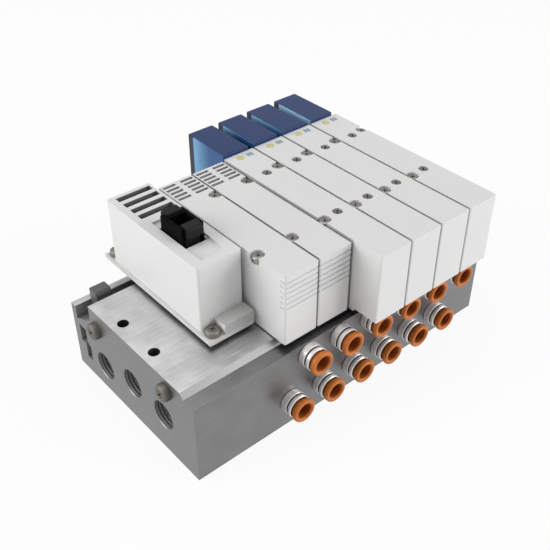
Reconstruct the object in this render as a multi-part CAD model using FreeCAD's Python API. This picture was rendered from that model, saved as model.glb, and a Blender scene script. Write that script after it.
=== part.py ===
import FreeCAD, Part
import os

# Pneumatic valve island: an aluminium manifold carries two blanking stations, four valves with
# blue pilot covers, a flat-cable connector box and two rows of push-in tube fittings.
# Millimetres. The origin is the centre of the manifold's mounting face. X runs along the row of
# stations, the tube fittings face -Y, the pilot covers are at +Y, and Z is up.

# Row of stations
station_pitch = 16.0
blank_count = 2
valve_count = 4
first_station = 42.0
far_margin = 13.5
station_gap = 0.5

# Manifold block
block_depth = 82.5
block_height = 38.4
ledge_depth = 6.0
ledge_drop = 2.1
riser_run = 1.9
rear_wall = 3.1
rear_wall_drop = 7.0
channel_width = 11.4
channel_depth_front = 7.6
channel_depth_rear = 13.0
hook_upper_inset = 4.1
hook_upper_width = 4.8
hook_upper_top = 22.8
hook_upper_height = 8.3
hook_lower_width = 3.7
hook_lower_height = 7.0
hook_step = 2.1
mount_hole_radius = 2.25
mount_hole_inset = 4.95
mount_row_front = 30.35
mount_row_pitch = 20.4

# Supply and exhaust ports in the left end face, each with its gallery
port_radius = 5.9
port_depth = 14.0
gallery_radius = 5.0
gallery_end_wall = 16.0
supply_row = 40.6
supply_height = 18.0
exhaust_row_offset = 20.3
exhaust_front_height = 17.5
exhaust_rear_height = 12.3

# Heads of the pan screws in the left end face, with each one's row and its drop from the block's top
end_screw_radius = 3.4
end_screw_height = 2.4
end_screw_front = (17.2, 6.4)
end_screw_rear = (64.3, 9.6)

# Rail clamps in the rear channel
clamp_width = 7.0
clamp_inset = 7.0
clamp_thickness = 5.7
clamp_rise = 5.6
clamp_nose = 1.2

# Push-in fittings
fitting_lower_height = 12.3
fitting_upper_height = 31.2
fitting_lower_offset = 1.6
fitting_upper_offset = 10.0
fitting_radius = 4.95
fitting_length = 5.25
fitting_floor = 0.5
tube_radius = 3.0
tube_clearance = 0.15

# Release rings
ring_radius = 5.05
ring_flange = 2.0
ring_sleeve_wall = 0.85
ring_sleeve_length = 4.2
ring_gap = 1.2
ring_clearance = 0.06

# Stations
gasket_thickness = 0.6
gasket_inset = 1.0
station_reach = 77.3
blank_setback = 2.0
blank_height = 30.9
valve_overhang = 12.0
valve_height = 31.6
overhang_rise = 1.4
front_round = 0.7
valve_round = 0.6
screw_inset = 1.95
screw_row_front = 18.6
screw_rear_inset = 17.8
notch_radius = 2.5
notch_depth = 3.0

# Ribbing and louvres of the blanking stations
rib_count = 6
rib_pitch = 2.3
rib_groove = 0.6
rib_depth = 0.45
rib_wrap = 2.0
rib_top_drop = 2.6
louvre_rows = 5
louvre_pitch = 2.6
louvre_first = 1.3
louvre_length = 5.2
louvre_width = 1.1
louvre_depth = 2.5
louvre_side = 1.4

# Overrides and indicator lenses of the valves
override_radius = 2.0
override_clearance = 0.06
override_recess = 0.4
override_length = 3.0
override_travel = 0.9
override_stop_gap = 0.2
override_rear = (7.3, 19.2)
override_front = (9.2, 19.4)
yellow_lens = (6.3, 3.6, 3.6, 3.3)
blue_lens = (11.2, 3.5, 2.9, 2.2)
lens_height = 0.25

# Pilot covers
cover_side_gap = 0.2
cover_width = 13.2
cover_length = 25.1
cover_rise = 1.6
cover_drop = 2.4
cover_round = 1.0

# Connector box
box_clearance = 1.2
box_width = 19.3
box_front = 23.8
box_length = 58.4
box_top_height = 32.2
box_round = 1.0
base_gap = 1.8
base_thickness = 2.0
base_margin = 0.8
base_foot_inset = 3.0
tab_length = 6.2
tab_height = 4.4
tab_notch = 6.0
vent_count = 4
vent_pitch = 5.05
vent_length = 15.2
vent_width = 2.3
vent_depth = 5.0
vent_first = 3.3
vent_side = 3.0

# Flat-cable header with its two latches
recess_side = 4.4
recess_width = 11.0
recess_front = 4.0
recess_length = 30.2
recess_depth = 1.2
header_width = 9.8
header_length = 13.0
header_wall = 1.5
header_front = 39.6
header_rise = 5.6
header_sunk = 4.6
header_floor = 1.5
header_end_wall = 1.2
latch_thickness = 2.2
latch_rise = 0.9
latch_lip = 2.3
latch_lip_height = 4.0
latch_lip_slope = 2.0
latch_lip_round = 1.0
latch_side_gap = 0.1
latch_end_gap = 0.1
latch_room = 1.8
pin_side = 0.4
pin_pitch = 1.27
pin_rows = 4
pin_height = 4.1

tiny = 1e-4
station_count = blank_count + valve_count
block_length = first_station + station_count * station_pitch + far_margin
left_end = -block_length / 2
port_face = -block_depth / 2
rear_face = block_depth / 2
ledge_height = block_height - ledge_drop
top_front = port_face + ledge_depth + riser_run
top_rear = rear_face - rear_wall - channel_width
wall_inside = rear_face - rear_wall
floor_front = block_height - channel_depth_front
floor_rear = block_height - channel_depth_rear
station_bottom = block_height + gasket_thickness
station_rear = port_face + station_reach
blank_top = station_bottom + blank_height
valve_top = station_bottom + valve_height
body_front = port_face - fitting_length
ring_back = body_front - ring_gap
sleeve_bore = tube_radius + tube_clearance
sleeve_radius = sleeve_bore + ring_sleeve_wall
box_right = left_end + first_station - box_clearance
box_left = box_right - box_width
box_face = port_face + box_front
box_back = box_face + box_length
base_bottom = block_height + base_gap
base_top = base_bottom + base_thickness
box_top = block_height + box_top_height
recess_left = box_left + recess_side
recess_floor = box_top - recess_depth
header_middle_x = recess_left + recess_width / 2
header_start = port_face + header_front
header_end = header_start + header_length
header_bottom = box_top - header_sunk
header_top = box_top + header_rise
latch_radius = latch_thickness / 2
latch_pivot_height = header_bottom + header_floor + latch_radius + latch_end_gap


def box(x0, x1, y0, y1, z0, z1):
    return Part.makeBox(x1 - x0, y1 - y0, z1 - z0, FreeCAD.Vector(x0, y0, z0))


def rod(radius, length, x, y, z, direction):
    return Part.makeCylinder(radius, length, FreeCAD.Vector(x, y, z), FreeCAD.Vector(*direction))


def extruded_x(outline, x0, x1):
    """Solid of an outline of (y, z) points, from x0 to x1."""
    points = [FreeCAD.Vector(x0, y, z) for y, z in outline]
    face = Part.Face(Part.makePolygon(points + points[:1]))
    return face.extrude(FreeCAD.Vector(x1 - x0, 0, 0))


def turned_y(outline, x, z):
    """Solid turned about the line along Y through (x, z), from an outline of (radius, y) points."""
    points = [FreeCAD.Vector(x + radius, y, z) for radius, y in outline]
    face = Part.Face(Part.makePolygon(points + points[:1]))
    return face.revolve(FreeCAD.Vector(x, 0, z), FreeCAD.Vector(0, 1, 0), 360)


def upright_edges(solid, y):
    """Straight vertical edges of a solid in the plane at y."""
    found = []
    for edge in solid.Edges:
        reach = edge.BoundBox
        if reach.XLength + reach.YLength < tiny and abs(reach.YMin - y) < tiny:
            found.append(edge)
    return found


def station_left(index):
    return left_end + first_station + index * station_pitch


def fused(solids):
    whole = solids[0]
    for solid in solids[1:]:
        whole = whole.fuse(solid)
    return whole.removeSplitter()


def station_screw_places(index):
    """Front-left and rear-right screw of a station, with the side that its notch opens to."""
    left = station_left(index)
    right = station_left(index + 1)
    front = (left + screw_inset, port_face + screw_row_front, left)
    rear = (right - screw_inset, station_rear - screw_rear_inset, right)
    return front, rear


def fitting_places():
    """Axis of each fitting, lower row first."""
    places = []
    lower = (fitting_lower_offset, fitting_lower_height)
    upper = (fitting_upper_offset, fitting_upper_height)
    for offset, height in (lower, upper):
        for index in range(station_count):
            places.append((station_left(index) + offset, height))
    return places


def end_port_places():
    """Row and height of the supply port and of the exhaust ports either side of it."""
    return (
        (port_face + supply_row - exhaust_row_offset, exhaust_front_height),
        (port_face + supply_row, supply_height),
        (port_face + supply_row + exhaust_row_offset, exhaust_rear_height),
    )


def channel_floor(y):
    """Height of the sloping channel floor."""
    share = (y - top_rear) / channel_width
    return floor_front + (floor_rear - floor_front) * share


def make_block():
    outline = [
        (port_face, 0),
        (rear_face, 0),
        (rear_face, block_height - rear_wall_drop),
        (wall_inside, block_height - rear_wall_drop),
        (wall_inside, floor_rear),
        (top_rear, floor_front),
        (top_rear, block_height),
        (top_front, block_height),
        (port_face + ledge_depth, ledge_height),
        (port_face, ledge_height),
    ]
    right_end = left_end + block_length
    block = extruded_x(outline, left_end, right_end)
    cuts = []
    upper_rear = rear_face - hook_upper_inset
    upper_front = upper_rear - hook_upper_width
    upper_bottom = hook_upper_top - hook_upper_height
    lower_front = upper_front - hook_step
    hook = [
        (upper_rear, hook_upper_top),
        (upper_front, hook_upper_top),
        (upper_front, upper_bottom + hook_step),
        (lower_front, upper_bottom),
        (lower_front, upper_bottom - hook_lower_height),
        (lower_front + hook_lower_width, upper_bottom - hook_lower_height),
        (lower_front + hook_lower_width, upper_bottom),
        (upper_rear, upper_bottom),
    ]
    cuts.append(extruded_x(hook, left_end, right_end))
    for y, z in end_port_places():
        cuts.append(rod(port_radius, port_depth, left_end, y, z, (1, 0, 0)))
        cuts.append(rod(gallery_radius, block_length - gallery_end_wall, left_end, y, z, (1, 0, 0)))
    for x in (left_end + mount_hole_inset, right_end - mount_hole_inset):
        for y in (port_face + mount_row_front, port_face + mount_row_front + mount_row_pitch):
            cuts.append(rod(mount_hole_radius, block_height, x, y, 0, (0, 0, 1)))
    return block.cut(cuts)


def make_end_screws():
    heads = []
    for row, drop in (end_screw_front, end_screw_rear):
        y = port_face + row
        z = block_height - drop
        heads.append(rod(end_screw_radius, end_screw_height, left_end, y, z, (-1, 0, 0)))
    return Part.makeCompound(heads)


def make_rail_clamps():
    """Clamp block seated on the channel floor against the rear wall, one near each end."""
    clamps = []
    front = wall_inside - clamp_thickness
    top = block_height - rear_wall_drop + clamp_rise
    outline = [
        (front, channel_floor(front)),
        (wall_inside, floor_rear),
        (wall_inside, top),
        (front + clamp_nose, top),
        (front, top - clamp_nose),
    ]
    for x in (left_end + clamp_inset, left_end + block_length - clamp_inset - clamp_width):
        clamps.append(extruded_x(outline, x, x + clamp_width))
    return Part.makeCompound(clamps)


def make_fitting_body(x, z):
    """Nickel-plated cup on the port face. The release ring slides in it and the tube ends in it."""
    outline = [
        (0, port_face),
        (0, port_face - fitting_floor),
        (sleeve_radius + ring_clearance, port_face - fitting_floor),
        (sleeve_radius + ring_clearance, body_front),
        (fitting_radius, body_front),
        (fitting_radius, port_face),
    ]
    return turned_y(outline, x, z)


def make_release_ring(x, z):
    """Flanged sleeve that slides in the fitting and frees the tube when it is pressed."""
    outline = [
        (sleeve_bore, ring_back + ring_sleeve_length),
        (sleeve_bore, ring_back - ring_flange),
        (ring_radius, ring_back - ring_flange),
        (ring_radius, ring_back),
        (sleeve_radius, ring_back),
        (sleeve_radius, ring_back + ring_sleeve_length),
    ]
    return turned_y(outline, x, z)


def station_shell(index, front, top, corner):
    """Station body with rounded front corners and two screw notches open to its sides."""
    x0 = station_left(index) + station_gap / 2
    x1 = station_left(index + 1) - station_gap / 2
    shell = box(x0, x1, front, station_rear, station_bottom, top)
    shell = shell.makeFillet(corner, upright_edges(shell, front))
    cuts = []
    for x, y, side in station_screw_places(index):
        seat = top - notch_depth
        cuts.append(rod(notch_radius, notch_depth, x, y, seat, (0, 0, 1)))
        edges = sorted((x, side))
        cuts.append(box(*edges, y - notch_radius, y + notch_radius, seat, top))
    return shell.cut(fused(cuts[:2])).cut(fused(cuts[2:]))


def make_blank_station(index):
    """Short blanking station with ribs across its nose and a louvred rear top."""
    front = port_face + blank_setback
    station = station_shell(index, front, blank_top, front_round)
    x0 = station_left(index) + station_gap / 2
    x1 = station_left(index + 1) - station_gap / 2
    inner = box(x0 + rib_depth, x1 - rib_depth, front + rib_depth, station_rear, station_bottom, blank_top)
    cuts = []
    for row in range(rib_count):
        top = blank_top - rib_top_drop - row * rib_pitch
        slab = box(x0, x1, front, front + front_round + rib_wrap, top - rib_groove, top)
        cuts.append(slab.cut(inner))
    for row in range(louvre_rows):
        y = station_rear - louvre_first - row * louvre_pitch
        for x in (x0 + louvre_side, x1 - louvre_side - louvre_length):
            cuts.append(box(x, x + louvre_length, y - louvre_width, y, blank_top - louvre_depth, blank_top))
    return station.cut(cuts)


def override_places(index):
    """Rear and front override of a valve, set out from its rear face and from the port face."""
    left = station_left(index)
    rear = (left + override_rear[0], station_rear - override_rear[1])
    front = (left + override_front[0], port_face + override_front[1])
    return rear, front


def make_valve_body(index):
    """Valve body that overhangs the tube fittings, with a bore for each of its two overrides."""
    front = port_face - valve_overhang
    valve = station_shell(index, front, valve_top, valve_round)
    left = station_left(index)
    right = station_left(index + 1)
    cuts = [box(left, right, front, port_face, station_bottom, station_bottom + overhang_rise)]
    depth = override_recess + override_length + override_travel + override_stop_gap
    for x, y in override_places(index):
        cuts.append(rod(override_radius + override_clearance, depth, x, y, valve_top, (0, 0, -1)))
    return valve.cut(cuts)


def make_override(x, y):
    """Push button of a manual override, a little below the valve's top."""
    return rod(override_radius, override_length, x, y, valve_top - override_recess, (0, 0, -1))


def make_lenses(places, sizes):
    """One indicator lens on each valve."""
    return Part.makeCompound([make_lens(index, *sizes) for index in places])


def make_lens(index, from_left, from_rear, wide, deep):
    x = station_left(index) + from_left
    y = station_rear - from_rear
    return box(x - wide / 2, x + wide / 2, y - deep / 2, y + deep / 2, valve_top, valve_top + lens_height)


def make_pilot_cover(index):
    """Blue cover over the pilot solenoids, against the rear face of its valve."""
    x0 = station_left(index) + cover_side_gap
    y1 = station_rear + cover_length
    cover = box(x0, x0 + cover_width, station_rear, y1, station_bottom + cover_drop, valve_top + cover_rise)
    return cover.makeFillet(cover_round, upright_edges(cover, y1))


def make_station_gaskets():
    """One thin gasket under each station."""
    gaskets = []
    front = top_front + gasket_inset
    rear = top_rear - gasket_inset
    for index in range(station_count):
        x0 = station_left(index) + gasket_inset
        x1 = station_left(index + 1) - gasket_inset
        gaskets.append(box(x0, x1, front, rear, block_height, station_bottom))
    return Part.makeCompound(gaskets)


def make_connector_base():
    """Base plate with a smaller foot, so that a shadow gap runs round it."""
    front = box_face - tab_length
    left = box_left - base_margin
    plate = box(left, box_right, front, box_back + tab_length, base_bottom, base_top)
    foot_left = left + base_foot_inset
    foot_right = box_right - base_foot_inset
    foot = box(foot_left, foot_right, front + base_foot_inset, top_rear, block_height, base_bottom)
    return fused([plate, foot])


def make_connector_housing():
    """White moulded box with a low tab at each end, vents and the recess for the cable plug."""
    body = box(box_left, box_right, box_face, box_back, base_top, box_top)
    body = body.makeFillet(box_round, upright_edges(body, box_face) + upright_edges(body, box_back))
    tab_start = box_left + tab_notch
    tab_front = box_face - tab_length
    tab_back = box_back + tab_length
    tabs = box(tab_start, box_right, tab_front, tab_back, base_top, base_top + tab_height)
    housing = fused([body, tabs])
    cuts = []
    vent_left = box_left + vent_side
    vent_right = vent_left + vent_length
    for row in range(vent_count):
        y1 = box_back - vent_first - row * vent_pitch + vent_width / 2
        cuts.append(box(vent_left, vent_right, y1 - vent_width, y1, box_top - vent_depth, box_top))
    recess_right = recess_left + recess_width
    recess_start = box_face + recess_front
    recess_end = recess_start + recess_length
    cuts.append(box(recess_left, recess_right, recess_start, recess_end, recess_floor, box_top))
    well_left = header_middle_x - header_width / 2
    well_right = header_middle_x + header_width / 2
    well_start = header_start - latch_room
    well_end = header_end + latch_room
    cuts.append(box(well_left, well_right, well_start, well_end, header_bottom, box_top))
    return housing.cut(cuts)


def latch_pivots():
    """Y of the front and rear latch's pivot, with the way along Y that the latch opens."""
    inset = latch_radius + latch_end_gap
    return ((header_start + inset, -1), (header_end - inset, 1))


def make_header():
    """Open header: long walls with a latch between them at each end, and a pin field in the middle."""
    left = header_middle_x - header_width / 2
    right = header_middle_x + header_width / 2
    body = box(left, right, header_start, header_end, header_bottom, header_top)
    inner_left = left + header_wall
    inner_right = right - header_wall
    bay = latch_thickness + 2 * latch_end_gap
    room_start = header_start + bay + header_end_wall
    room_end = header_end - bay - header_end_wall
    floor = header_bottom + header_floor
    cuts = [box(inner_left, inner_right, room_start, room_end, floor, header_top)]
    cuts.append(box(inner_left, inner_right, header_start, header_start + bay, floor, header_top))
    cuts.append(box(inner_left, inner_right, header_end - bay, header_end, floor, header_top))
    for x, y in pin_places():
        cuts.append(pin_solid(x, y, header_bottom, floor))
    return body.cut(cuts)


def pin_places():
    """Centre of each pin, two to a row."""
    middle = (header_start + header_end) / 2
    first = middle - (pin_rows - 1) * pin_pitch / 2
    left = header_middle_x - pin_pitch / 2
    right = header_middle_x + pin_pitch / 2
    return [(x, first + row * pin_pitch) for row in range(pin_rows) for x in (left, right)]


def pin_solid(x, y, z0, z1):
    half = pin_side / 2
    return box(x - half, x + half, y - half, y + half, z0, z1)


def make_header_pins():
    top = header_bottom + header_floor + pin_height
    return Part.makeCompound([pin_solid(x, y, header_bottom, top) for x, y in pin_places()])


def make_latch(pivot, outward):
    """Ejector latch: a foot rounded about its pivot, a plate and a finger lip that leans outward."""
    left = header_middle_x - header_width / 2 + header_wall + latch_side_gap
    right = header_middle_x + header_width / 2 - header_wall - latch_side_gap
    top = header_top + latch_rise
    foot = rod(latch_radius, right - left, left, pivot, latch_pivot_height, (1, 0, 0))
    inner = pivot - outward * latch_radius
    outer = pivot + outward * latch_radius
    lip = outer + outward * latch_lip
    outline = [
        (inner, latch_pivot_height),
        (outer, latch_pivot_height),
        (outer, top - latch_lip_height - latch_lip_slope),
        (lip, top - latch_lip_height),
        (lip, top - latch_lip_round),
        (lip - outward * latch_lip_round, top),
        (inner, top),
    ]
    plate = extruded_x(outline, left, right)
    return fused([foot, plate])


def build():
    nodes = {
        "manifold_block": make_block(),
        "rail_clamps": make_rail_clamps(),
        "end_face_screws": make_end_screws(),
        "station_gaskets": make_station_gaskets(),
        "connector_base": make_connector_base(),
        "connector_housing": make_connector_housing(),
        "cable_header": make_header(),
        "header_pins": make_header_pins(),
    }
    for name, (pivot, outward) in zip(("header_latch_front", "header_latch_rear"), latch_pivots()):
        nodes[name] = make_latch(pivot, outward)
    for index in range(blank_count):
        nodes[f"blank_station_{index + 1}"] = make_blank_station(index)
    valves = range(blank_count, station_count)
    for number, index in enumerate(valves, 1):
        nodes[f"valve_body_{number}"] = make_valve_body(index)
        nodes[f"pilot_cover_{number}"] = make_pilot_cover(index)
        for side, (x, y) in zip(("rear", "front"), override_places(index)):
            nodes[f"override_{side}_{number}"] = make_override(x, y)
    nodes["yellow_lenses"] = make_lenses(valves, yellow_lens)
    nodes["blue_lenses"] = make_lenses(valves, blue_lens)
    for number, (x, z) in enumerate(fitting_places()):
        row = "lower" if number < station_count else "upper"
        place = number % station_count + 1
        nodes[f"fitting_body_{row}_{place}"] = make_fitting_body(x, z)
        nodes[f"release_ring_{row}_{place}"] = make_release_ring(x, z)
    return nodes


os.makedirs("parts", exist_ok=True)
for node, shape in build().items():
    shape.exportStep(f"parts/{node}.step")
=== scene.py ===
import bmesh
import bpy
import math
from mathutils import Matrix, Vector


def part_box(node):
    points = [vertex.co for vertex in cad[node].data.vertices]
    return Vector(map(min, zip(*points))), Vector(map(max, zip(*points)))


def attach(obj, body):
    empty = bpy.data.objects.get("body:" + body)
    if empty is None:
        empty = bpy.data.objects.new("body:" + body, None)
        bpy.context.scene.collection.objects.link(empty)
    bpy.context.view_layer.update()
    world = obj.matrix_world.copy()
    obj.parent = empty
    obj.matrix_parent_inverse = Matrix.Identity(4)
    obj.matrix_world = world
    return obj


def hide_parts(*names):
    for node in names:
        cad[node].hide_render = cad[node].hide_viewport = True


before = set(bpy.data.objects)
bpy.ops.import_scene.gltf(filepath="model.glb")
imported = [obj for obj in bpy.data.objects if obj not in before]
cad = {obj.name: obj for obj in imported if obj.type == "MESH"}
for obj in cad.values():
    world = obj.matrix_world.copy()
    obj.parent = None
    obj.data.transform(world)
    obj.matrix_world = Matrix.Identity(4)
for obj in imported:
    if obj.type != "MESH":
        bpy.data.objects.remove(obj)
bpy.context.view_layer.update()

# The manifold block is an aluminium extrusion, sawn to length and milled on top.
# Its skin is dull and fine-grained, the milled top is brighter with cutter lines along the row,
# and the threaded ports in its end face are countersunk.
mm = 0.001
same_place = 0.01 * mm  # places closer than this are one place
leeway = 0.1 * mm  # what a test of a place allows
facing = 0.9  # the share of a normal that lies along an axis when its face looks that way


def shader_material(name, base, roughness, metallic=0.0):
    """A material with one Principled shader whose plain values are set on its own sockets."""
    material = bpy.data.materials.new(name)
    material.use_nodes = True
    shader = material.node_tree.nodes["Principled BSDF"]
    shader.inputs["Base Color"].default_value = (*base, 1)
    shader.inputs["Roughness"].default_value = roughness
    shader.inputs["Metallic"].default_value = metallic
    return material, shader


def new_group(name, inputs, outputs):
    """A shader node group with float or colour sockets, and its two end nodes."""
    group = bpy.data.node_groups.new(name, "ShaderNodeTree")
    for socket, kind, value in inputs:
        made = group.interface.new_socket(socket, in_out="INPUT", socket_type=kind)
        made.default_value = value
    for socket, kind in outputs:
        group.interface.new_socket(socket, in_out="OUTPUT", socket_type=kind)
    start = group.nodes.new("NodeGroupInput")
    end = group.nodes.new("NodeGroupOutput")
    return group, start, end


def feed(tree, value, socket):
    """Sets a socket to a number, or links another node's output to it."""
    if isinstance(value, (int, float)):
        socket.default_value = value
    else:
        tree.links.new(value, socket)


def math_node(tree, operation, first, second):
    """What a calculation gives for two values, each a number or another node's output."""
    node = tree.nodes.new("ShaderNodeMath")
    node.operation = operation
    feed(tree, first, node.inputs[0])
    feed(tree, second, node.inputs[1])
    return node.outputs["Value"]


def noise_node(tree, place, scale, detail):
    """Smooth noise at a place, from 0 to 1."""
    node = tree.nodes.new("ShaderNodeTexNoise")
    node.inputs["Detail"].default_value = detail
    tree.links.new(place, node.inputs["Vector"])
    feed(tree, scale, node.inputs["Scale"])
    return node.outputs["Fac"]


def make_surface_group(name, pattern, dulling, relief):
    """A surface whose colour and roughness swing a little about their values, with a fine relief.

    pattern takes the group, the place and the scale, and gives the swing and the height of the relief.
    """
    group, start, end = new_group(
        name,
        [("Colour", "NodeSocketColor", (0.6, 0.6, 0.6, 1)), ("Roughness", "NodeSocketFloat", 0.4),
         ("Contrast", "NodeSocketFloat", 0.1), ("Scale", "NodeSocketFloat", 2500.0),
         ("Depth", "NodeSocketFloat", 0.1)],
        [("Colour", "NodeSocketColor"), ("Roughness", "NodeSocketFloat"), ("Normal", "NodeSocketVector")],
    )
    place = group.nodes.new("ShaderNodeTexCoord").outputs["Object"]
    swing, height = pattern(group, place, start.outputs["Scale"])
    change = math_node(group, "MULTIPLY", swing, start.outputs["Contrast"])
    colour_node = group.nodes.new("ShaderNodeVectorMath")
    colour_node.operation = "SCALE"
    group.links.new(start.outputs["Colour"], colour_node.inputs[0])
    group.links.new(math_node(group, "ADD", change, 1.0), colour_node.inputs["Scale"])
    group.links.new(colour_node.outputs["Vector"], end.inputs["Colour"])
    duller = math_node(group, "MULTIPLY", swing, dulling)
    group.links.new(math_node(group, "ADD", start.outputs["Roughness"], duller), end.inputs["Roughness"])
    bump = group.nodes.new("ShaderNodeBump")
    bump.inputs["Distance"].default_value = relief
    group.links.new(start.outputs["Depth"], bump.inputs["Strength"])
    group.links.new(height, bump.inputs["Height"])
    group.links.new(bump.outputs["Normal"], end.inputs["Normal"])
    return group


def line_pattern(group, place, scale):
    """Fine parallel lines along X, as a cutter or an extrusion die leaves them, with slow clouding."""
    stretch = group.nodes.new("ShaderNodeMapping")
    stretch.inputs["Scale"].default_value = (0.03, 1, 1)
    group.links.new(place, stretch.inputs["Vector"])
    lines = noise_node(group, stretch.outputs["Vector"], scale, detail=4)
    clouds = noise_node(group, place, scale=90, detail=3)
    both = math_node(group, "ADD", lines, clouds)
    return math_node(group, "SUBTRACT", both, 1.0), lines


tool_lines = make_surface_group("tool_lines", line_pattern, dulling=0.25, relief=0.05 * mm)


def add_group(material, group, values, feeds):
    """Places a group in a material, gives it its values and feeds its outputs to the shader."""
    tree = material.node_tree
    node = tree.nodes.new("ShaderNodeGroup")
    node.node_tree = group
    node.name = group.name
    for socket, value in values.items():
        node.inputs[socket].default_value = value
    shader = tree.nodes["Principled BSDF"]
    for output, socket in feeds.items():
        tree.links.new(node.outputs[output], shader.inputs[socket])
    return node


def surfaced(name, group, base, roughness, contrast, scale, depth, metallic):
    """A material that gets its colour, roughness and normal from a surface group."""
    material, shader = shader_material(name, base, roughness, metallic)
    values = {"Colour": (*base, 1), "Roughness": roughness, "Contrast": contrast,
              "Scale": scale, "Depth": depth}
    add_group(material, group, values, {"Colour": "Base Color", "Roughness": "Roughness", "Normal": "Normal"})
    return material, shader


def tooled_metal(name, base, roughness, contrast, scale, depth, metallic=1.0):
    """Metal with the fine lines of a tool or a die."""
    return surfaced(name, tool_lines, base, roughness, contrast, scale, depth, metallic)[0]


def welded_copy(node):
    """The solid of a CAD node as one closed mesh, with its flat faces joined up."""
    shape = bmesh.new()
    shape.from_mesh(cad[node].data)
    bmesh.ops.remove_doubles(shape, verts=shape.verts, dist=0.002 * mm)
    bmesh.ops.dissolve_limit(shape, angle_limit=math.radians(0.4), verts=shape.verts, edges=shape.edges)
    return shape


def sharp_edges(shape, least=35):
    """Edges whose two faces meet at more than an angle in degrees."""
    return [e for e in shape.edges if len(e.link_faces) == 2 and e.calc_face_angle(0) > math.radians(least)]


def break_edges(shape, edges, rounding, segments=2):
    """Rounds edges, as a deburring tool or a mould's radius does."""
    bmesh.ops.bevel(shape, geom=edges, offset=rounding, offset_type="OFFSET", segments=segments, profile=0.5,
                    affect="EDGES", clamp_overlap=True)


def set_normals(mesh, smooth):
    """Flat faces keep their own normals and the rounded edges blend between them, up to an angle."""
    least = math.cos(math.radians(smooth))
    around = [[] for vertex in mesh.vertices]
    for face in mesh.polygons:
        for index in face.vertices:
            around[index].append(face)
    normals = []
    for face in mesh.polygons:
        for index in face.vertices:
            total = Vector()
            for other in around[index]:
                if other.normal.dot(face.normal) > least:
                    total += other.normal * other.area
            normals.append(total.normalized())
    mesh.normals_split_custom_set(normals)


def shown(name, shape, materials, body="island", replaces=(), smooth=40):
    """Makes the object of a mesh, shaded smooth up to an angle, and hands it to its body."""
    bmesh.ops.recalc_face_normals(shape, faces=shape.faces)
    mesh = bpy.data.meshes.new(name)
    shape.to_mesh(mesh)
    shape.free()
    for material in materials:
        mesh.materials.append(material)
    mesh.polygons.foreach_set("use_smooth", [True] * len(mesh.polygons))
    set_normals(mesh, smooth)
    piece = bpy.data.objects.new(name, mesh)
    bpy.context.scene.collection.objects.link(piece)
    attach(piece, body)
    if replaces:
        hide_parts(*replaces)


block_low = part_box("manifold_block")[0]
block_rounding = 0.12 * mm
long_edge = 50 * mm
port_radius = 5.9 * mm
port_places = [(y * mm, z * mm) for y, z in ((-20.95, 17.5), (-0.65, 18.0), (19.65, 12.3))]  # on Y and Z
port_countersink = 0.3 * mm
port_lining = (block_low.x + 0.5 * mm, block_low.x + 20 * mm)
milled_from = -33.4 * mm
milled_above = 30 * mm
channel = (26.7 * mm, 38.2 * mm)
channel_above = 25 * mm
hook_slot = (30.0 * mm, 38.0 * mm)
hook_slot_heights = (5 * mm, 23 * mm)

block_skin = tooled_metal("extruded_aluminium_skin", (0.225, 0.225, 0.227), roughness=0.42, contrast=0.4,
                          scale=2600, depth=0.35)
block_milled = tooled_metal("milled_aluminium", (0.57, 0.57, 0.57), roughness=0.42, contrast=0.7,
                            scale=1800, depth=0.3)
# The rear channel and the hook slot get lighter, rougher copies of the skin: painted light where they lie in
# shade.
channel_painted_light = tooled_metal("channel_skin_painted_light", (0.30, 0.30, 0.30), roughness=0.55, contrast=0.3,
                             scale=2600, depth=0.3)
port_metal = tooled_metal("drilled_port", (0.2, 0.2, 0.2), roughness=0.6, contrast=0.3, scale=2600, depth=0.3)
slot_painted_light = tooled_metal("hook_slot_skin_painted_light", (0.30, 0.30, 0.30), roughness=0.7, contrast=0.3,
                         scale=2600, depth=0.3)
block_metals = [block_skin, block_milled, channel_painted_light, port_metal, slot_painted_light]


def runs_lengthwise(normal):
    """Faces that run along X, and don't look to the left or right."""
    return abs(normal.x) < 0.5


def port_reach(place):
    """How far a place is from the axis of the nearest port."""
    return min(math.hypot(place.y - y, place.z - z) for y, z in port_places)


def is_port_rim(edge):
    """An edge round the mouth of a port, in the left end face."""
    middle = (edge.verts[0].co + edge.verts[1].co) / 2
    in_face = all(abs(v.co.x - block_low.x) < same_place for v in edge.verts)
    return in_face and abs(port_reach(middle) - port_radius) < leeway / 2


def is_long_corner(edge):
    """A long edge of the underside or of the port face."""
    on_corner = all(v.co.z < same_place or v.co.y < block_low.y + same_place for v in edge.verts)
    return on_corner and abs(edge.verts[0].co.x - edge.verts[1].co.x) > long_edge


def metal_at(face):
    """The metal surface that a face of the block belongs to; its channel and hook slot have painted light."""
    middle = face.calc_center_median()
    lengthwise = runs_lengthwise(face.normal)
    if face.normal.z > facing and middle.y > milled_from and middle.z > milled_above:
        return block_milled
    if lengthwise and channel[0] < middle.y < channel[1] and middle.z > channel_above:
        return channel_painted_light
    if port_lining[0] < middle.x < port_lining[1] and port_reach(middle) < port_radius + leeway:
        return port_metal
    in_hook_slot = hook_slot[0] < middle.y < hook_slot[1]
    if lengthwise and in_hook_slot and hook_slot_heights[0] < middle.z < hook_slot_heights[1]:
        return slot_painted_light
    return block_skin


block = welded_copy("manifold_block")
break_edges(block, [e for e in block.edges if is_port_rim(e)], port_countersink, segments=1)
break_edges(block, [e for e in sharp_edges(block, 25) if is_long_corner(e)], block_rounding)
for face in block.faces:
    face.material_index = block_metals.index(metal_at(face))
shown("manifold", block, block_metals, replaces=["manifold_block"])


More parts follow.
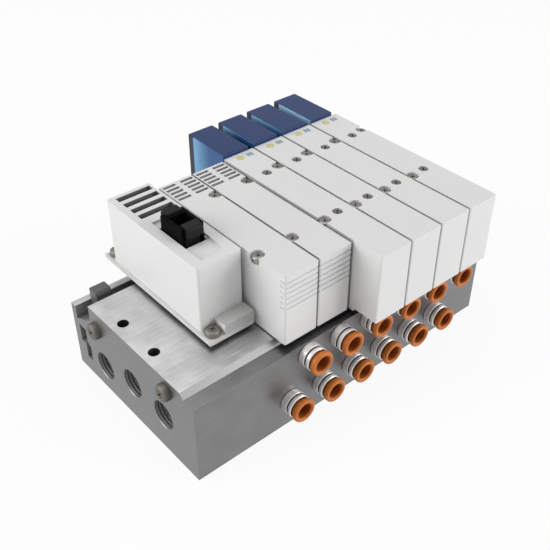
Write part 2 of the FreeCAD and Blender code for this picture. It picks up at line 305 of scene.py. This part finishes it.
def turned(profile, centre, axis, segments=48):
    """A closed solid turned about an axis from (radius, distance) points in millimetres.

    A radius can also be a function of the angle, for a recess that isn't round.
    """
    shape = bmesh.new()
    along = Vector(axis)
    side = along.orthogonal().normalized()
    up = along.cross(side)
    rings = []
    for radius, distance in profile:
        base = Vector(centre) + along * distance * mm
        if radius == 0:
            rings.append([shape.verts.new(base)])
            continue
        ring = []
        for i in range(segments):
            angle = 2 * math.pi * i / segments
            reach = radius(angle) if callable(radius) else radius
            ring.append(shape.verts.new(base + (side * math.cos(angle) + up * math.sin(angle)) * reach * mm))
        rings.append(ring)
    for one, two in zip(rings, rings[1:]):
        for i in range(segments):
            j = (i + 1) % segments
            if len(one) == 1:
                shape.faces.new((one[0], two[i], two[j]))
            elif len(two) == 1:
                shape.faces.new((one[i], one[j], two[0]))
            else:
                shape.faces.new((one[i], one[j], two[j], two[i]))
    return shape


thread_start = 0.7
thread_pitch = 1.337
thread_turns = 9
thread_crest = 5.7
thread_root = 5.88
thread_backing = thread_root + 0.015
thread_end = thread_start + thread_turns * thread_pitch
thread_metal = tooled_metal("cut_thread", (0.24, 0.24, 0.24), roughness=0.65, contrast=0.2, scale=2600,
                            depth=0.2)
thread_profile = [(thread_root, thread_start)]
for turn in range(thread_turns):
    thread_profile.append((thread_crest, thread_start + (turn + 0.5) * thread_pitch))
    thread_profile.append((thread_root, thread_start + (turn + 1) * thread_pitch))
thread_profile += [(thread_backing, thread_end), (thread_backing, thread_start), thread_profile[0]]
for number, (y, z) in enumerate(port_places, 1):
    shown(f"port_thread_{number}", turned(thread_profile, (block_low.x, y, z), (1, 0, 0)), [thread_metal],
          smooth=20)

# The rail clamps are dark painted steel blocks that sit in the rear channel near each end
# and pull the island onto its mounting rail. The paint rounds their edges a little.
clamp_rounding = 0.3 * mm


def grain_pattern(group, place, scale):
    """Fine mould grain, with a faint unevenness of colour."""
    grain = noise_node(group, place, scale, detail=2)
    clouds = noise_node(group, place, scale=60, detail=3)
    return math_node(group, "SUBTRACT", clouds, 0.5), grain


mould_grain = make_surface_group("mould_grain", grain_pattern, dulling=0.2, relief=0.03 * mm)


def moulded(name, base, roughness, contrast, scale, depth, coat=0.0, specular=0.5):
    """Plastic, rubber or paint with a fine grain."""
    material, shader = surfaced(name, mould_grain, base, roughness, contrast, scale, depth, metallic=0.0)
    shader.inputs["Specular IOR Level"].default_value = specular
    shader.inputs["Coat Weight"].default_value = coat
    shader.inputs["Coat Roughness"].default_value = 0.06
    return material


def softened(name, node, material, rounding, body="island", segments=2, shades=(), adjust=None,
             split_at=None):
    """Stands for a CAD node: the same solid with its sharp edges rounded.

    shades holds further materials, each with a test that says which faces it is on.
    adjust moves vertices before the edges are rounded, and split_at divides the faces at a place along Y.
    """
    shape = welded_copy(node)
    if split_at is not None:
        everything = shape.verts[:] + shape.edges[:] + shape.faces[:]
        bmesh.ops.bisect_plane(shape, geom=everything, plane_co=(0, split_at, 0), plane_no=(0, 1, 0))
    if adjust:
        for vert in shape.verts:
            adjust(vert.co)
    break_edges(shape, sharp_edges(shape), rounding, segments)
    for index, (shade, is_on) in enumerate(shades, 1):
        for face in shape.faces:
            if is_on(face.calc_center_median(), face.normal):
                face.material_index = index
    shown(name, shape, [material] + [shade for shade, is_on in shades], body, [node])


clamp_paint = moulded("clamp_paint_coat", (0.10, 0.10, 0.10), roughness=0.45, contrast=0.2, scale=3000,
                      depth=0.3)
softened("rail_clamp_pair", "rail_clamps", clamp_paint, clamp_rounding)

# The end-face screws are of zinc-plated steel, coloured darker than the box screws as painted shade, and sit
# on the block's left end face.
# Each has a low domed head with a cross recess pressed into it.
end_zinc_painted_shade = tooled_metal("end_zinc_painted_shade", (0.18, 0.168, 0.155), roughness=0.6, contrast=0.4, scale=3000,
                         depth=0.3)
end_screw_radius = 3.55
end_screw_height = 2.39
end_screw_places = ((-24.05, 32.0), (23.05, 28.8))
# Shares of the head's radius, and of its height.
head_outline = ((1, 0), (1, 0.5), (0.96, 0.78), (0.86, 0.94), (0.74, 1))
recess_mouth = 0.5
recess_foot = 0.36
recess_floor = 0.55
recess_waist = 0.24


def cross_recess(reach):
    """Outline of a cross-shaped driver recess, as a radius at each angle."""
    return lambda angle: reach * (recess_waist + (1 - recess_waist) * abs(math.cos(2 * angle)) ** 3)


def screw_head(radius, height, centre, axis, segments=32):
    """Domed head with a cross recess, standing on a face along an axis."""
    dome = [(share * radius, rise * height) for share, rise in head_outline]
    floor = recess_floor * height
    recess = [(cross_recess(recess_mouth * radius), height), (cross_recess(recess_foot * radius), floor),
              (0, floor)]
    return turned([(0, 0)] + dome + recess, centre, axis, segments)


def joined(shapes):
    """Several meshes in one."""
    whole = bmesh.new()
    for shape in shapes:
        part = bpy.data.meshes.new("part")
        shape.to_mesh(part)
        shape.free()
        whole.from_mesh(part)
        bpy.data.meshes.remove(part)
    return whole


end_heads = [screw_head(end_screw_radius, end_screw_height, (block_low.x, y * mm, z * mm), (-1, 0, 0))
             for y, z in end_screw_places]
shown("end_screw_heads", joined(end_heads), [end_zinc_painted_shade], replaces=["end_face_screws"])

# The station gaskets are cut from thin black rubber sheet.
# Each is squeezed between its station and the block, and seals the air passages.
gasket_rounding = 0.08 * mm
gasket_rubber = moulded("gasket_rubber", (0.02, 0.02, 0.02), roughness=0.7, contrast=0.2, scale=2500,
                        depth=0.3)
softened("station_seals", "station_gaskets", gasket_rubber, gasket_rounding)

# The connector box is moulded in white plastic, in two halves: a base plate on a smaller foot and a
# deep housing with a low tab at each end. Its edges have a moulding radius, and its vents are open slots.
# Painted shade darkens the vents' walls and floors, the tabs' tops and fronts, and the foot and undersides.
white_plastic = moulded("white_plastic", (0.78, 0.78, 0.775), roughness=0.42, contrast=0.03, scale=4500,
                        depth=0.12)
base_plastic = moulded("base_plate_plastic", (0.66, 0.66, 0.65), roughness=0.5, contrast=0.06, scale=4500,
                       depth=0.3)
# Dark painted shade for the walls and floors of the vents.
vent_painted_shade = moulded("vent_painted_shade", (0.20, 0.20, 0.20), roughness=0.6, contrast=0.1, scale=4500,
                         depth=0.12, specular=0.2)
# A darker copy of the white for the low tabs: painted shade beside the housing.
tab_painted_shade = moulded("tab_painted_shade", (0.52, 0.52, 0.515), roughness=0.5, contrast=0.05, scale=4500, depth=0.2)
# Near-black painted shade for the foot under the base plate and for faces that look down.
underside_painted_shade = moulded("underside_painted_shade", (0.012, 0.012, 0.012), roughness=0.7, contrast=0.1, scale=4500,
                       depth=0.12, specular=0.1)
plate_low, plate_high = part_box("connector_base")
plate_thickness = 2.0 * mm
plate_rounding = 0.25 * mm
box_low, box_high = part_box("connector_housing")
box_rounding = 0.35 * mm
tab_length = 6.2 * mm
tab_height = 4.6 * mm
box_front = box_low.y + tab_length
box_back = box_high.y - tab_length
vents_from = 19.0 * mm
vent_pitch = 5.05 * mm
vent_middle = box_back - 3.3 * mm
vent_depth = 5.0 * mm
vent_rim = 0.3 * mm
vent_growth = 0.3 * mm
vent_wall = 1 * mm


def at_vent(place):
    """In the vents or at their rims."""
    across = box_low.x + vent_wall < place.x < box_high.x - vent_wall
    along = vents_from < place.y < box_high.y - vent_wall
    return across and along and place.z > box_high.z - vent_depth - leeway


def in_vent(place, normal):
    """Walls and floors of the vents, below their rounded rims, where painted shade goes."""
    return at_vent(place) and place.z < box_high.z - vent_rim


def widen_slot(place, one_middle, pitch, growth):
    """Moves a corner of a slot away from the slot's middle. The slots are a row along Y."""
    middle = round((place.y - one_middle) / pitch) * pitch + one_middle
    place.y += math.copysign(growth, place.y - middle)


def widen_vent(place):
    """Opens the vents a little, as their sharp rims would be lost to the rounding."""
    if at_vent(place):
        widen_slot(place, vent_middle, vent_pitch, vent_growth)


def on_tab(place, normal):
    """Painted shade goes on the low tabs at the box's ends, apart from their sides."""
    beyond_box = place.y < box_front - leeway or place.y > box_back + leeway
    return beyond_box and place.z < plate_high.z + tab_height and runs_lengthwise(normal)


def on_foot(place, normal):
    """Painted shade goes on the smaller foot under the base plate, and on everything that faces down."""
    return place.z < plate_high.z - plate_thickness - leeway / 2 or normal.z < -facing


softened("connector_base_plate", "connector_base", base_plastic, plate_rounding,
         shades=[(underside_painted_shade, on_foot)])
softened("connector_box", "connector_housing", white_plastic, box_rounding,
         shades=[(vent_painted_shade, in_vent), (tab_painted_shade, on_tab)], adjust=widen_vent)

# Two pan-head screws of zinc-plated steel hold the connector box down on its base plate.
# They stand beside its end tabs, each on a thin washer.
zinc = tooled_metal("zinc_plating", (0.235, 0.22, 0.2), roughness=0.6, contrast=0.3, scale=3000, depth=0.3)
box_screw_radius = 2.85
box_screw_height = 2.0
box_screw_x = plate_low.x + 3.7 * mm
box_screw_inset = 3.4 * mm
washer_radius = 3.0
washer_height = 0.4
washer_edge = 0.1
washer_profile = [(0, 0), (washer_radius, 0), (washer_radius, washer_height - washer_edge),
                  (washer_radius - washer_edge, washer_height), (0, washer_height)]
for number, y in enumerate((plate_low.y + box_screw_inset, plate_high.y - box_screw_inset), 1):
    washer = turned(washer_profile, (box_screw_x, y, plate_high.z), (0, 0, 1), segments=32)
    seat = (box_screw_x, y, plate_high.z + washer_height * mm)
    head = screw_head(box_screw_radius, box_screw_height, seat, (0, 0, 1))
    shown(f"connector_screw_{number}", joined([washer, head]), [zinc])

# The flat-cable header is moulded in black plastic, with two rows of gold-plated pins pressed into it.
# An ejector latch at each end swings outward to push the cable's plug off, and has a finger rest.
header_plastic = moulded("header_plastic", (0.002, 0.002, 0.002), roughness=0.6, contrast=0.2, scale=3500,
                         depth=0.2, specular=0.04)
latch_plastic = moulded("latch_plastic", (0.014, 0.014, 0.015), roughness=0.5, contrast=0.2, scale=3500,
                        depth=0.2, specular=0.12)
pin_plating = tooled_metal("gold_plating", (0.83, 0.62, 0.26), roughness=0.25, contrast=0.15, scale=4000,
                           depth=0.1)
header_rounding = 0.18 * mm
pin_rounding = 0.1 * mm
latch_rounding = 0.35 * mm
softened("header_shell", "cable_header", header_plastic, header_rounding)
softened("header_pin_field", "header_pins", pin_plating, pin_rounding, segments=1)
for end in ("front", "rear"):
    node = f"header_latch_{end}"
    softened(f"latch_{end}", node, latch_plastic, latch_rounding, f"{node}_body", segments=3)

# The blanking stations are hollow white mouldings that close an unused place on the manifold, each held
# by two screws. Ribs run round the nose, and the rear of the top has two columns of small louvres.
# A grey for the painted shade on seam walls and in the louvres.
seam_and_louvre_painted_shade = moulded("seam_and_louvre_painted_shade", (0.46, 0.46, 0.46), roughness=0.6, contrast=0.1, scale=4500,
                       depth=0.12, specular=0.2)
blank_low, blank_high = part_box("blank_station_1")
blank_count = 2
blank_rounding = 0.12 * mm
station_front = blank_low.y
seam_draft = 0.2 * mm
seam_skin = 0.5 * mm
louvres_from = 21.5 * mm
louvre_pitch = 2.6 * mm
louvre_middle = blank_high.y - 1.85 * mm
louvre_depth = 2.5 * mm
louvre_rim = 0.15 * mm
louvre_side = 1.4 * mm
louvre_side_wall = 0.3 * mm
louvre_end_wall = 0.6 * mm
louvre_lengthening = 0.7 * mm
louvre_widening = 0.2 * mm


def station(name, node, rounding, left_neighbour, right_neighbour, split_at=None):
    """A station with painted shade where little light gets: on its underside and the walls of its seams and
    louvres.

    A seam is where it has a neighbour. The seams' walls are drawn back a little, and the louvres opened up.
    """
    low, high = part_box(node)

    def in_seam(place, normal):
        on_left = left_neighbour and normal.x < -facing and place.x < low.x + seam_skin
        on_right = right_neighbour and normal.x > facing and place.x > high.x - seam_skin
        return place.y > station_front and (on_left or on_right)

    def at_louvre(place):
        along = louvres_from < place.y < high.y - louvre_end_wall
        return along and high.z - place.z < louvre_depth + leeway

    def in_louvre(place, normal):
        across = low.x + louvre_side_wall < place.x < high.x - louvre_side_wall
        return across and at_louvre(place) and place.z < high.z - louvre_rim

    def is_underside(place, normal):
        return normal.z < -facing and place.z < low.z + leeway / 2

    def adjust(place):
        if left_neighbour and place.x < low.x + same_place:
            place.x += seam_draft
        elif right_neighbour and place.x > high.x - same_place:
            place.x -= seam_draft
        elif at_louvre(place) and abs(place.x - low.x - louvre_side) < leeway / 2:
            place.x -= louvre_lengthening
        elif at_louvre(place) and abs(high.x - place.x - louvre_side) < leeway / 2:
            place.x += louvre_lengthening
        if at_louvre(place):
            widen_slot(place, louvre_middle, louvre_pitch, louvre_widening)

    shades = [(seam_and_louvre_painted_shade, in_seam), (seam_and_louvre_painted_shade, in_louvre), (underside_painted_shade, is_underside)]
    softened(name, node, white_plastic, rounding, shades=shades, adjust=adjust,
             split_at=split_at)


for number in range(1, blank_count + 1):
    station(f"blanking_station_{number}", f"blank_station_{number}", blank_rounding, number > 1, True)

# The valve bodies are white mouldings over the valve's aluminium core, with softly rounded edges.
# They reach forward over the tube fittings. The first one's left wall is divided where it comes out
# past the blanking station beside it, so that the painted seam shade stops there.
valve_count = 4
valve_rounding = 0.25 * mm
for number in range(1, valve_count + 1):
    station(f"valve_{number}", f"valve_body_{number}", valve_rounding, True, number < valve_count,
            split_at=station_front if number == 1 else None)

# Two small screws of dark zinc-plated steel hold each station down on the manifold.
# Their heads sit low in notches beside the seam.
dark_zinc = tooled_metal("dark_zinc", (0.30, 0.29, 0.27), roughness=0.35, contrast=0.3, scale=3000, depth=0.3)
station_pitch = 16.0
first_seam = -33.75
station_screw_places = {"front": (1.95, -22.65), "rear": (14.05, 18.25)}
station_screw_radius = 2.4
station_screw_height = 2.4
notch_depth = 3.0
blank_top = blank_high.z / mm
valve_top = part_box("valve_body_1")[1].z / mm
for index in range(blank_count + valve_count):
    seat = (blank_top if index < blank_count else valve_top) - notch_depth
    for side, (x, y) in station_screw_places.items():
        centre = ((first_seam + index * station_pitch + x) * mm, y * mm, seat * mm)
        head = screw_head(station_screw_radius, station_screw_height, centre, (0, 0, 1), segments=24)
        shown(f"station_screw_{side}_{index + 1}", head, [dark_zinc])

# Each valve has two manual overrides: dark plastic buttons that a screwdriver pushes in.
# Their tops have a turned edge and a slot.
override_plastic = moulded("override_plastic", (0.14, 0.14, 0.14), roughness=0.4, contrast=0.3, scale=3500,
                           depth=0.2)
override_radius = 2.0
override_chamfer = 0.3
slot_half_length = 1.35
slot_half_width = 0.32
slot_depth = 0.6
nearly_zero = 0.001


def slot_outline(angle):
    """Outline of a straight slot, as a radius at each angle."""
    return min(slot_half_length / max(abs(math.cos(angle)), nearly_zero),
               slot_half_width / max(abs(math.sin(angle)), nearly_zero))


for number in range(1, valve_count + 1):
    for side in ("rear", "front"):
        node = f"override_{side}_{number}"
        low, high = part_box(node)
        centre = ((low.x + high.x) / 2, (low.y + high.y) / 2, low.z)
        tall = (high.z - low.z) / mm
        profile = [(0, 0), (override_radius, 0), (override_radius, tall - override_chamfer),
                   (override_radius - override_chamfer, tall), (slot_outline, tall),
                   (slot_outline, tall - slot_depth), (0, tall - slot_depth)]
        button = turned(profile, centre, (0, 0, 1), segments=40)
        shown(f"button_{side}_{number}", button, [override_plastic], f"{node}_body", [node])

# Two indicator lenses light up on each valve: a yellow oval one and a blue-grey square one.
# Both are moulded in tinted plastic, slightly crowned, and snap into the valve's top.
yellow_tint = moulded("yellow_lens", (0.60, 0.58, 0.22), roughness=0.2, contrast=0.05, scale=3000, depth=0.05,
                      coat=0.6)
blue_tint = moulded("blue_lens", (0.24, 0.34, 0.40), roughness=0.2, contrast=0.05, scale=3000, depth=0.05,
                    coat=0.6)
blue_lens_rounding = 0.1 * mm
lens_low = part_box("yellow_lenses")[0]
lens_place = (6.3, 32.45)
lens_half = (1.8, 1.65)
lens_profile = [(0, 0), (1, 0), (1, 0.08), (0.85, 0.18), (0.5, 0.23), (0, 0.25)]
lenses = []
for index in range(blank_count, blank_count + valve_count):
    lens_x = first_seam + index * station_pitch + lens_place[0]
    centre = Vector((lens_x * mm, lens_place[1] * mm, lens_low.z))
    crown = turned(lens_profile, centre, (0, 0, 1), segments=32)
    for vert in crown.verts:
        vert.co.x = centre.x + (vert.co.x - centre.x) * lens_half[0]
        vert.co.y = centre.y + (vert.co.y - centre.y) * lens_half[1]
    lenses.append(crown)
shown("yellow_indicators", joined(lenses), [yellow_tint], replaces=["yellow_lenses"])
softened("blue_indicators", "blue_lenses", blue_tint, blue_lens_rounding)

# The pilot covers are glossy mouldings of clear-tinted blue plastic over the pilot solenoids.
# Their left walls carry a painted dark band along the rear edge and, in front of it, a painted light-blue
# sheen that fades towards the front; their tops and right walls keep the plastic's own deep blue.
cover_rounding = 0.5 * mm
cover_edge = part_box("pilot_cover_1")[1].y - 3.6 * mm
# Only the deep blue is the plastic's own colour; the wall, thin and rim colours are painted sheen and painted
# shade.
cover_deep = (0.012, 0.036, 0.135, 1)
cover_wall_sheen = (0.028, 0.10, 0.26, 1)
cover_rim_shade = (0.018, 0.027, 0.05, 1)
cover_sheens = ((0.20, 0.46, 0.72, 1), (0.24, 0.50, 0.74, 1), (0.24, 0.50, 0.74, 1), (0.40, 0.68, 0.90, 1))
sheen_reaches = (13 * mm, 13 * mm, 26 * mm, 90 * mm)
sheen_fading = 1.5
rim_blend = 0.8 * mm


def clamped(tree, value):
    """A value held between 0 and 1."""
    node = tree.nodes.new("ShaderNodeClamp")
    tree.links.new(value, node.inputs["Value"])
    return node.outputs["Result"]


def split_axes(tree, vector):
    """The three parts of a vector, by the names of their axes."""
    node = tree.nodes.new("ShaderNodeSeparateXYZ")
    tree.links.new(vector, node.inputs["Vector"])
    return node.outputs


def colour_mix(tree, amount, first, second):
    """The first colour where the amount is 0, the second where it is 1."""
    mix = tree.nodes.new("ShaderNodeMix")
    mix.data_type = "RGBA"
    tree.links.new(amount, mix.inputs["Factor"])
    tree.links.new(first, mix.inputs["A"])
    tree.links.new(second, mix.inputs["B"])
    return mix.outputs["Result"]


def make_cover_sheen_group():
    """A cover's colour: its own deep blue, and on left walls a painted dark rear band and a painted sheen
    fading forward.
    """
    group, start, end = new_group(
        "cover_painted_sheen",
        [("Deep", "NodeSocketColor", (0, 0, 0.2, 1)), ("Wall_sheen", "NodeSocketColor", (0.1, 0.2, 0.4, 1)),
         ("Sheen", "NodeSocketColor", (0.2, 0.4, 0.6, 1)), ("Rim_shade", "NodeSocketColor", (0, 0, 0.1, 1)),
         ("Edge", "NodeSocketFloat", 0.06), ("Reach", "NodeSocketFloat", 0.03)],
        [("Colour", "NodeSocketColor")],
    )
    place = group.nodes.new("ShaderNodeTexCoord")
    facing_right = split_axes(group, place.outputs["Normal"])["X"]
    on_left = math_node(group, "MAXIMUM", math_node(group, "MULTIPLY", facing_right, -1.0), 0.0)
    along = split_axes(group, place.outputs["Object"])["Y"]
    ahead = math_node(group, "SUBTRACT", start.outputs["Edge"], along)
    past_edge = clamped(group, math_node(group, "DIVIDE", ahead, rim_blend))
    share = math_node(group, "DIVIDE", ahead, start.outputs["Reach"])
    kept = clamped(group, math_node(group, "SUBTRACT", 1.0, share))
    fade = math_node(group, "POWER", kept, sheen_fading)
    wall = colour_mix(group, fade, start.outputs["Wall_sheen"], start.outputs["Sheen"])
    side = colour_mix(group, past_edge, start.outputs["Rim_shade"], wall)
    group.links.new(colour_mix(group, on_left, start.outputs["Deep"], side), end.inputs["Colour"])
    return group


cover_painted_sheen = make_cover_sheen_group()
for number, (reach, cover_sheen) in enumerate(zip(sheen_reaches, cover_sheens), 1):
    blue_plastic = moulded(f"blue_gloss_{number}", cover_deep[:3], roughness=0.28, contrast=0.08, scale=3000,
                           depth=0.05, specular=0.25)
    colour_node = add_group(blue_plastic, cover_painted_sheen, {"Deep": cover_deep, "Wall_sheen": cover_wall_sheen, "Sheen": cover_sheen,
                                               "Rim_shade": cover_rim_shade, "Edge": cover_edge, "Reach": reach}, {})
    tree = blue_plastic.node_tree
    tree.links.new(colour_node.outputs["Colour"], tree.nodes["mould_grain"].inputs["Colour"])
    softened(f"pilot_cap_{number}", f"pilot_cover_{number}", blue_plastic, cover_rounding,
             segments=3)

# The push-in fittings are turned from brass and nickel-plated, and pressed into the port face in two rows.
# A groove for the locking clip runs round the body, and the mouth takes the release ring's sleeve.
nickel = tooled_metal("bright_nickel", (0.88, 0.85, 0.83), roughness=0.36, contrast=0.05, scale=2500,
                      depth=0.02, metallic=0.6)
# A dark copy of the nickel: painted shade in the clip groove and on the front rim behind the release ring.
nickel_painted_shade = tooled_metal("nickel_painted_shade", (0.12, 0.115, 0.11), roughness=0.5, contrast=0.05, scale=2500,
                           depth=0.02)
# Radius, and distance from the port face, in millimetres.
fitting_profile = [(0, 0.02), (4.7, 0.02), (4.95, 0.3), (4.95, 2.75), (4.8, 2.95), (4.35, 3.0), (4.35, 3.6),
                   (4.75, 3.65), (4.9, 3.85), (4.9, 4.85), (4.6, 5.25), (4.07, 5.25), (4.07, 0.52), (0, 0.52)]
groove = (2.85 * mm, 3.63 * mm)
front_rim = 5.2 * mm
fitting_places = [(row, place) for row in ("lower", "upper") for place in range(1, 7)]


def fitting_foot(row, place):
    """Where the axis of a fitting meets the port face."""
    low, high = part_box(f"fitting_body_{row}_{place}")
    return (low.x + high.x) / 2, high.y, (low.z + high.z) / 2


for row, place in fitting_places:
    foot = fitting_foot(row, place)
    fitting = turned(fitting_profile, foot, (0, -1, 0))
    for face in fitting.faces:
        along = foot[1] - face.calc_center_median().y
        face.material_index = int(groove[0] < along < groove[1] or along > front_rim)
    shown(f"push_in_fitting_{row}_{place}", fitting, [nickel, nickel_painted_shade],
          replaces=[f"fitting_body_{row}_{place}"], smooth=25)

# The release rings are orange mouldings: a sleeve that runs in the fitting's mouth, and a rounded flange
# ahead of it with a funnel for the tube. A finger on the flange pushes the ring in and frees the tube.
ring_plastic = moulded("release_ring_plastic", (0.58, 0.168, 0.025), roughness=0.4, contrast=0.1, scale=3500,
                       depth=0.15, specular=0.3)
# A darker copy of the orange: painted shade in the bore, on the sleeve and on the back of the flange.
ring_painted_shade = moulded("release_ring_painted_shade", (0.36, 0.095, 0.015), roughness=0.5, contrast=0.1, scale=3500,
                      depth=0.15, specular=0.2)
# Radius, and distance from the port face, in millimetres.
ring_profile = [(3.16, 2.29), (3.16, 7.3), (3.3, 7.8), (3.6, 8.25), (3.9, 8.4), (4.35, 8.43), (4.75, 8.3),
                (4.98, 8.0), (5.04, 7.5), (5.03, 6.75), (4.85, 6.5), (4.6, 6.46), (3.99, 6.46), (3.99, 2.5),
                (3.8, 2.26), (3.16, 2.29)]
bore_radius = 3.25 * mm
flange_back = 6.7 * mm
for row, place in fitting_places:
    foot = fitting_foot(row, place)
    ring = turned(ring_profile, foot, (0, -1, 0))
    for face in ring.faces:
        middle = face.calc_center_median()
        reach = math.hypot(middle.x - foot[0], middle.z - foot[2])
        face.material_index = int(reach < bore_radius or foot[1] - middle.y < flange_back)
    node = f"release_ring_{row}_{place}"
    shown(f"ring_{row}_{place}", ring, [ring_plastic, ring_painted_shade], f"{node}_body", [node],
          smooth=50)

# The studio is a pale floor under the island, three soft lamps and the camera at the photograph's place.
# The world is white to the camera and in reflections but lights the island only dimly. The floor glows
# in the same way, and keeps the island's shadow.
floor_size = 6.0
floor_drop = 0.05 * mm
floor_glow = 0.91
world_strength = 0.2
floor_shape = bmesh.new()
bmesh.ops.create_grid(floor_shape, x_segments=1, y_segments=1, size=floor_size)
floor_mesh = bpy.data.meshes.new("studio_floor")
floor_shape.to_mesh(floor_mesh)
floor_shape.free()
floor = bpy.data.objects.new("studio_floor", floor_mesh)
floor.location = (0, 0, -floor_drop)
bpy.context.scene.collection.objects.link(floor)
floor_material, floor_shader = shader_material("studio_floor", (0.94, 0.94, 0.94), 0.8)
floor_mesh.materials.append(floor_material)


def direct_view(tree):
    """1 where the camera, a reflection or a see-through piece looks, 0 for the light that a surface gets."""
    rays = tree.nodes.new("ShaderNodeLightPath")
    mirrored = math_node(tree, "MAXIMUM", rays.outputs["Is Camera Ray"], rays.outputs["Is Glossy Ray"])
    return math_node(tree, "MAXIMUM", mirrored, rays.outputs["Is Transmission Ray"])


def mix_shaders(tree, amount, first, second, output):
    """Feeds an output with the first shader where the amount is 0, and the second where it is 1."""
    mix = tree.nodes.new("ShaderNodeMixShader")
    tree.links.new(amount, mix.inputs["Fac"])
    tree.links.new(first, mix.inputs[1])
    tree.links.new(second, mix.inputs[2])
    tree.links.new(mix.outputs["Shader"], tree.nodes[output].inputs["Surface"])


floor_tree = floor_material.node_tree
glow = floor_tree.nodes.new("ShaderNodeEmission")
glow.inputs["Strength"].default_value = 1.0
glow_share = math_node(floor_tree, "MULTIPLY", direct_view(floor_tree), floor_glow)
mix_shaders(floor_tree, glow_share, floor_shader.outputs["BSDF"], glow.outputs["Emission"], "Material Output")

world = bpy.data.worlds.new("studio")
bpy.context.scene.world = world
world.use_nodes = True
world_tree = world.node_tree
background = world_tree.nodes["Background"]
background.inputs["Color"].default_value = (1, 1, 1, 1)
background.inputs["Strength"].default_value = world_strength
white = world_tree.nodes.new("ShaderNodeBackground")
white.inputs["Strength"].default_value = 1.0
mix_shaders(world_tree, direct_view(world_tree), background.outputs["Background"],
            white.outputs["Background"], "World Output")


def soft_lamp(name, place, size, power):
    """A square lamp at a place, turned to the middle of the island's foot."""
    lamp = bpy.data.lights.new(name, "AREA")
    lamp.size = size
    lamp.energy = power
    holder = bpy.data.objects.new(name, lamp)
    holder.location = place
    holder.rotation_euler = (-Vector(place)).to_track_quat("-Z", "Y").to_euler()
    bpy.context.scene.collection.objects.link(holder)


soft_lamp("overhead", (0.0, 0.1, 1.2), size=1.0, power=5.0)
soft_lamp("left_rear", (-1.1, 0.5, 0.55), size=1.0, power=11.2)
soft_lamp("right_front", (0.9, -1.0, 0.35), size=1.2, power=16.0)

camera = bpy.data.cameras.new("camera")
camera.sensor_width = 36
camera.lens = 54.58
viewer = bpy.data.objects.new("camera", camera)
viewer.location = (-0.18013, -0.20528, 0.24203)
azimuth = math.radians(-40.53)
elevation = math.radians(37.66)
back = Vector((math.sin(azimuth) * math.cos(elevation), -math.cos(azimuth) * math.cos(elevation),
               math.sin(elevation)))
viewer.rotation_euler = back.to_track_quat("Z", "Y").to_euler()
bpy.context.scene.collection.objects.link(viewer)
bpy.context.scene.camera = viewer
bpy.context.scene.view_settings.view_transform = "Standard"
